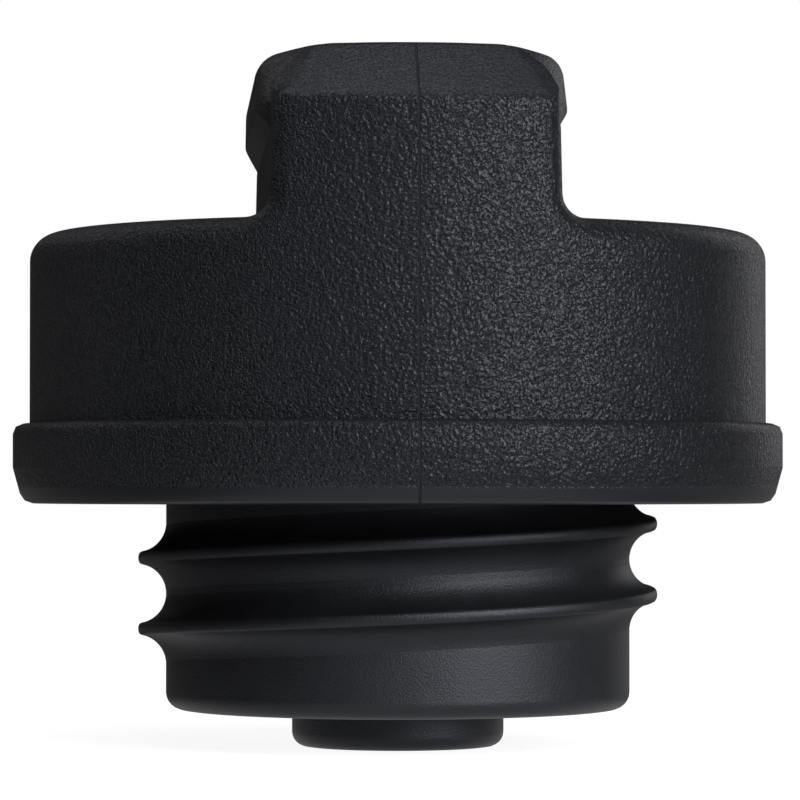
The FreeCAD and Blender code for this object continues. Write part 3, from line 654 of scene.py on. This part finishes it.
class FUELCAP_OT_underside(bpy.types.Operator):
    """Seal ring, retainer ring and the boss of the valve housing"""

    bl_idname = "fuel_cap.underside"
    bl_label = "Underside"

    def execute(self, context):
        colour = tuple(context.scene.fuel_cap_plug.colour)
        self.seal()
        self.retainer(colour)
        self.boss(colour)
        return {"FINISHED"}

    def seal(self):
        """Rubber ring with a shallow groove in its lower face."""
        low, high = (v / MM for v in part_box("seal_ring"))
        inner, outer = 21.3, high.x
        groove_inner, groove_outer = inner + 1.3, inner + 3.0
        groove_slope, groove_top = 0.3, low.z + 0.35
        rim, rim_low = outer - 1.5, low.z + 0.3
        seal = turn("sealing_ring", [
            (inner, low.z, 0.5), (groove_inner, low.z), (groove_inner + groove_slope, groove_top),
            (groove_outer - groove_slope, groove_top), (groove_outer, low.z), (rim, low.z),
            (outer, rim_low, 0.6), (outer, high.z, 0.4), (inner, high.z, 0.3),
        ])
        smooth(seal)
        place(seal, "plug", "seal_ring", rubber("seal_rubber", (0.014, 0.014, 0.014)))

    def retainer(self, colour):
        """Ring that snaps into the cover under the plug's flange."""
        low, high = (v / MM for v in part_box("retainer_ring"))
        width = 3.0
        inner, outer = high.x - width, high.x
        retainer = turn("snap_retainer", [
            (inner, low.z, 0.5), (outer, low.z, 0.3), (outer, high.z), (inner, high.z, 0.2),
        ])
        smooth(retainer)
        finish = satin_black("retainer_black", colour)
        place(retainer, "grip", "retainer_ring", finish)

    def boss(self, colour):
        """Boss with the inlet, a raised seat inside and the tube that snaps through the plug's floor."""
        inlet, boss, boss_top, floor = 3.0, 9.5, 3.35, 1.6
        seat_inner, seat_outer, seat_top = 3.4, 4.0, 2.0
        tube, bore, tube_top = 7.6, 6.4, 11.0
        barb, barb_low, barb_high = 8.1, 6.0, 6.85
        housing = turn("valve_boss", [
            (inlet, 0, 0.35), (boss, 0, 1.3), (boss, boss_top), (tube, boss_top), (tube, barb_low),
            (barb, barb_low), (tube, barb_high), (tube, tube_top), (bore, tube_top), (bore, floor),
            (seat_outer, floor), (seat_outer, seat_top), (seat_inner, seat_top), (seat_inner, floor),
            (inlet, floor),
        ], sides=112)
        smooth(housing)
        finish = satin_black("valve_satin_black", colour)
        place(housing, "plug", "valve_housing", finish)


class FUELCAP_OT_lock(bpy.types.Operator):
    """Sleeve, face plate and dust shutter of the lock, with soft edges"""

    bl_idname = "fuel_cap.lock"
    bl_label = "Lock face"

    def execute(self, context):
        settings = context.scene.fuel_cap_lock
        zinc = cast_metal("lock_zinc", tuple(settings.zinc))
        steel = brushed_metal("face_steel", tuple(settings.steel))
        for node, name, body, slot, finish in (
            ("lock_housing", "lock_sleeve", "grip", "lock_zinc", zinc),
            ("rotor_face_cap", "face_plate", "rotor", "face_steel", steel),
            ("dust_shutter", "shutter_flap", "shutter", "face_steel", steel),
        ):
            piece = merged_copy(node, name)
            finish_with(
                piece, "BEVEL", width=settings.edge, segments=3, limit_method="ANGLE",
                angle_limit=math.radians(50), use_clamp_overlap=True)
            smooth(piece)
            place(piece, body, node, finish)
        return {"FINISHED"}


class FUELCAP_OT_springs(bpy.types.Operator):
    """Coil springs of the two valves, each a smoothed copy of its CAD node seated on the body of its valve
    """

    bl_idname = "fuel_cap.springs"
    bl_label = "Valve springs"

    def execute(self, context):
        steel = cast_metal("spring_steel", (0.50, 0.50, 0.50), 0.28)
        joints = {joint["name"]: joint for joint in frame["record"]["behaviour"]["joints"]}
        for node, name, body, joint, hangs in (
            ("pressure_spring", "pressure_coil", "plug", "pressure_lift", True),
            ("vacuum_spring", "vacuum_coil", "relief", "vacuum_drop", False),
        ):
            low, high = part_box(node)
            spring = merged_copy(node, name)
            smooth(spring, 32.0)
            place(spring, body, node, steel)
            share = 1 - joints[joint]["range_m"][1] / (high.z - low.z)
            share * SPRING_SLACK
            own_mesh(spring)
        return {"FINISHED"}


class FUELCAP_OT_inner_parts(bpy.types.Operator):
    """Finishes of the CAD nodes that stay: valves, clips, screws, wafers, cam and bolts"""

    bl_idname = "fuel_cap.inner_parts"
    bl_label = "Inner parts"

    def execute(self, context):
        finishes = {
            "spring_cap": bpy.data.materials["valve_satin_black"],
            "pressure_valve": moulded("valve_white", (0.55, 0.54, 0.50)),
            "vacuum_valve": moulded("vacuum_red", (0.36, 0.06, 0.04)),
            "bolt_carrier": moulded("carrier_grey", (0.09, 0.095, 0.10)),
            "valve_gasket": bpy.data.materials["seal_rubber"],
            "shutter_spring": bpy.data.materials["spring_steel"],
            "lock_bolt_left": cast_metal("bolt_zinc", (0.44, 0.445, 0.45), 0.42),
            "bolt_keeper": cast_metal("plated_steel", (0.56, 0.555, 0.54), 0.32),
            "lock_rotor": bpy.data.materials["lock_zinc"],
            "wafer_tumblers": cast_metal("wafer_brass", (0.62, 0.46, 0.20), 0.30),
        }
        same = {
            "lock_bolt_right": "lock_bolt_left", "lock_cam": "lock_bolt_left",
            "carrier_screws": "bolt_keeper", "cam_screw": "bolt_keeper", "housing_clip": "bolt_keeper",
            "rotor_clip": "bolt_keeper", "vacuum_clip": "bolt_keeper", "shutter_pin": "bolt_keeper",
        }
        for node, like in same.items():
            finishes[node] = finishes[like]
        for node, finish in finishes.items():
            slots = frame["nodes"][node].material_slots
            if not slots:
                raise RuntimeError(node + " has no material slot")
            for slot in slots:
                slot.material = finish
        return {"FINISHED"}


class FUELCAP_OT_stage(bpy.types.Operator):
    """Pale floor, white background, soft lamps and the camera"""

    bl_idname = "fuel_cap.stage"
    bl_label = "Stage"

    def execute(self, context):
        settings = context.scene.fuel_cap_stage
        context.scene.view_settings.view_transform = "Standard"
        self.floor(settings)
        self.world(context)
        for lamp in LAMPS:
            self.lamp(*lamp)
        self.camera(context, settings)
        return {"FINISHED"}

    def floor(self, settings):
        """A matt floor that the camera sees nearly white, and that glows for glossy rays only in a patch
        and a card near the cap, as painted reflections.
        """
        deselect_all()
        bpy.ops.mesh.primitive_circle_add(vertices=FLOOR_SIDES, radius=FLOOR_RADIUS, fill_type="NGON")
        floor = bpy.context.object
        floor.name = "floor"
        material = bpy.data.materials.new("pale_floor")
        material.use_nodes = True
        tree = material.node_tree
        tree.nodes.clear()
        path = tree.nodes.new("ShaderNodeLightPath")
        seen = Wire(tree, path.outputs["Is Camera Ray"])
        glossy = Wire(tree, path.outputs["Is Glossy Ray"])
        spot = Wire(tree, tree.nodes.new("ShaderNodeTexCoord").outputs["Object"])
        reach = spot.node("ShaderNodeVectorMath", {"operation": "LENGTH"}, {0: spot}, "Value")
        ahead = spot.split("Y") * -1
        aside = spot.math("ABSOLUTE", spot.split("X"))
        card_length = ahead.step(*CARD_NEAR_EDGE) * (1 - ahead.step(*CARD_FAR_EDGE))
        card = card_length * (1 - aside.step(*CARD_SIDE_EDGE))
        patch = 1 - reach.step(*PATCH_EDGE)
        # Glossy rays see the patch and the card glow: painted reflections on the cap, not lamps
        strength = seen * FLOOR_WHITE + glossy * (card * CARD_GLOW + patch * PATCH_GLOW)
        matt = seen.node("ShaderNodeBsdfDiffuse", {}, {"Color": (*settings.floor_colour, 1)})
        glow = seen.node("ShaderNodeEmission", {}, {"Color": WHITE, "Strength": strength})
        both = seen.node("ShaderNodeAddShader", {}, {0: matt, 1: glow})
        output = tree.nodes.new("ShaderNodeOutputMaterial")
        tree.links.new(both.socket, output.inputs["Surface"])
        floor.data.materials.append(material)

    def world(self, context):
        """White for the camera, a faint glow for everything else."""
        world = bpy.data.worlds.new("studio")
        context.scene.world = world
        world.use_nodes = True
        tree = world.node_tree
        tree.nodes.clear()
        path = tree.nodes.new("ShaderNodeLightPath")
        seen = Wire(tree, path.outputs["Is Camera Ray"])
        through = Wire(tree, path.outputs["Is Transmission Ray"])
        strength = seen.math("MAXIMUM", seen.math("MAXIMUM", seen, through), AMBIENT)
        background = seen.node("ShaderNodeBackground", {}, {"Color": WHITE, "Strength": strength})
        output = tree.nodes.new("ShaderNodeOutputWorld")
        tree.links.new(background.socket, output.inputs["Surface"])

    def lamp(self, name, azimuth, elevation, distance, width, height, power):
        """A soft box that looks at the cap."""
        around, lift = math.radians(azimuth), math.radians(elevation)
        away = Vector((
            math.sin(around) * math.cos(lift), -math.cos(around) * math.cos(lift), math.sin(lift)))
        deselect_all()
        bpy.ops.object.light_add(type="AREA", location=LAMP_TARGET + away * distance)
        lamp = bpy.context.object
        lamp.name = name
        lamp.data.shape = "RECTANGLE"
        lamp.data.size = width
        lamp.data.size_y = height
        lamp.data.energy = power
        lamp.rotation_euler = away.to_track_quat("Z", "Y").to_euler()

    def camera(self, context, settings):
        around = settings.azimuth
        spot = Vector((
            math.sin(around) * settings.distance, -math.cos(around) * settings.distance,
            settings.height))
        deselect_all()
        bpy.ops.object.camera_add(location=spot)
        camera = context.object
        camera.data.lens = settings.lens
        camera.data.sensor_width = SENSOR_WIDTH
        camera.data.clip_start = CLIP_START
        heading = Matrix.Rotation(around - settings.pan, 3, "Z")
        lift = Matrix.Rotation(math.pi / 2 + settings.tilt, 3, "X")
        camera.rotation_euler = (heading @ lift).to_euler()
        context.scene.camera = camera


class FUELCAP_PT_panel(bpy.types.Panel):
    """Lists the pieces of the fuel cap and their settings"""

    bl_idname = "FUELCAP_PT_panel"
    bl_label = "Fuel cap"
    bl_space_type = "VIEW_3D"
    bl_region_type = "UI"
    bl_category = "Fuel cap"

    def draw(self, context):
        for title, group in SETTINGS.items():
            box = self.layout.box()
            box.label(text=title.replace("fuel_cap_", "").title())
            for key in group.__annotations__:
                box.prop(getattr(context.scene, title), key)
        for operator in OPERATORS:
            self.layout.operator(operator.bl_idname)


SETTINGS = {
    "fuel_cap_cover": CoverSettings,
    "fuel_cap_plug": PlugSettings,
    "fuel_cap_lock": LockSettings,
    "fuel_cap_stage": StageSettings,
}
OPERATORS = (
    FUELCAP_OT_cover, FUELCAP_OT_plug, FUELCAP_OT_underside, FUELCAP_OT_lock, FUELCAP_OT_springs,
    FUELCAP_OT_inner_parts, FUELCAP_OT_stage,
)


def register():
    for title, group in SETTINGS.items():
        bpy.utils.register_class(group)
        setattr(bpy.types.Scene, title, bpy.props.PointerProperty(type=group))
    for operator in OPERATORS:
        bpy.utils.register_class(operator)
    bpy.utils.register_class(FUELCAP_PT_panel)


def unregister():
    bpy.utils.unregister_class(FUELCAP_PT_panel)
    for operator in reversed(OPERATORS):
        bpy.utils.unregister_class(operator)
    for title, group in SETTINGS.items():
        delattr(bpy.types.Scene, title)
        bpy.utils.unregister_class(group)


def main():
    register()
    bpy.ops.fuel_cap.cover()
    bpy.ops.fuel_cap.plug()
    bpy.ops.fuel_cap.underside()
    bpy.ops.fuel_cap.lock()
    bpy.ops.fuel_cap.springs()
    bpy.ops.fuel_cap.inner_parts()
    bpy.ops.fuel_cap.stage()


if __name__ == "__main__":
    main()
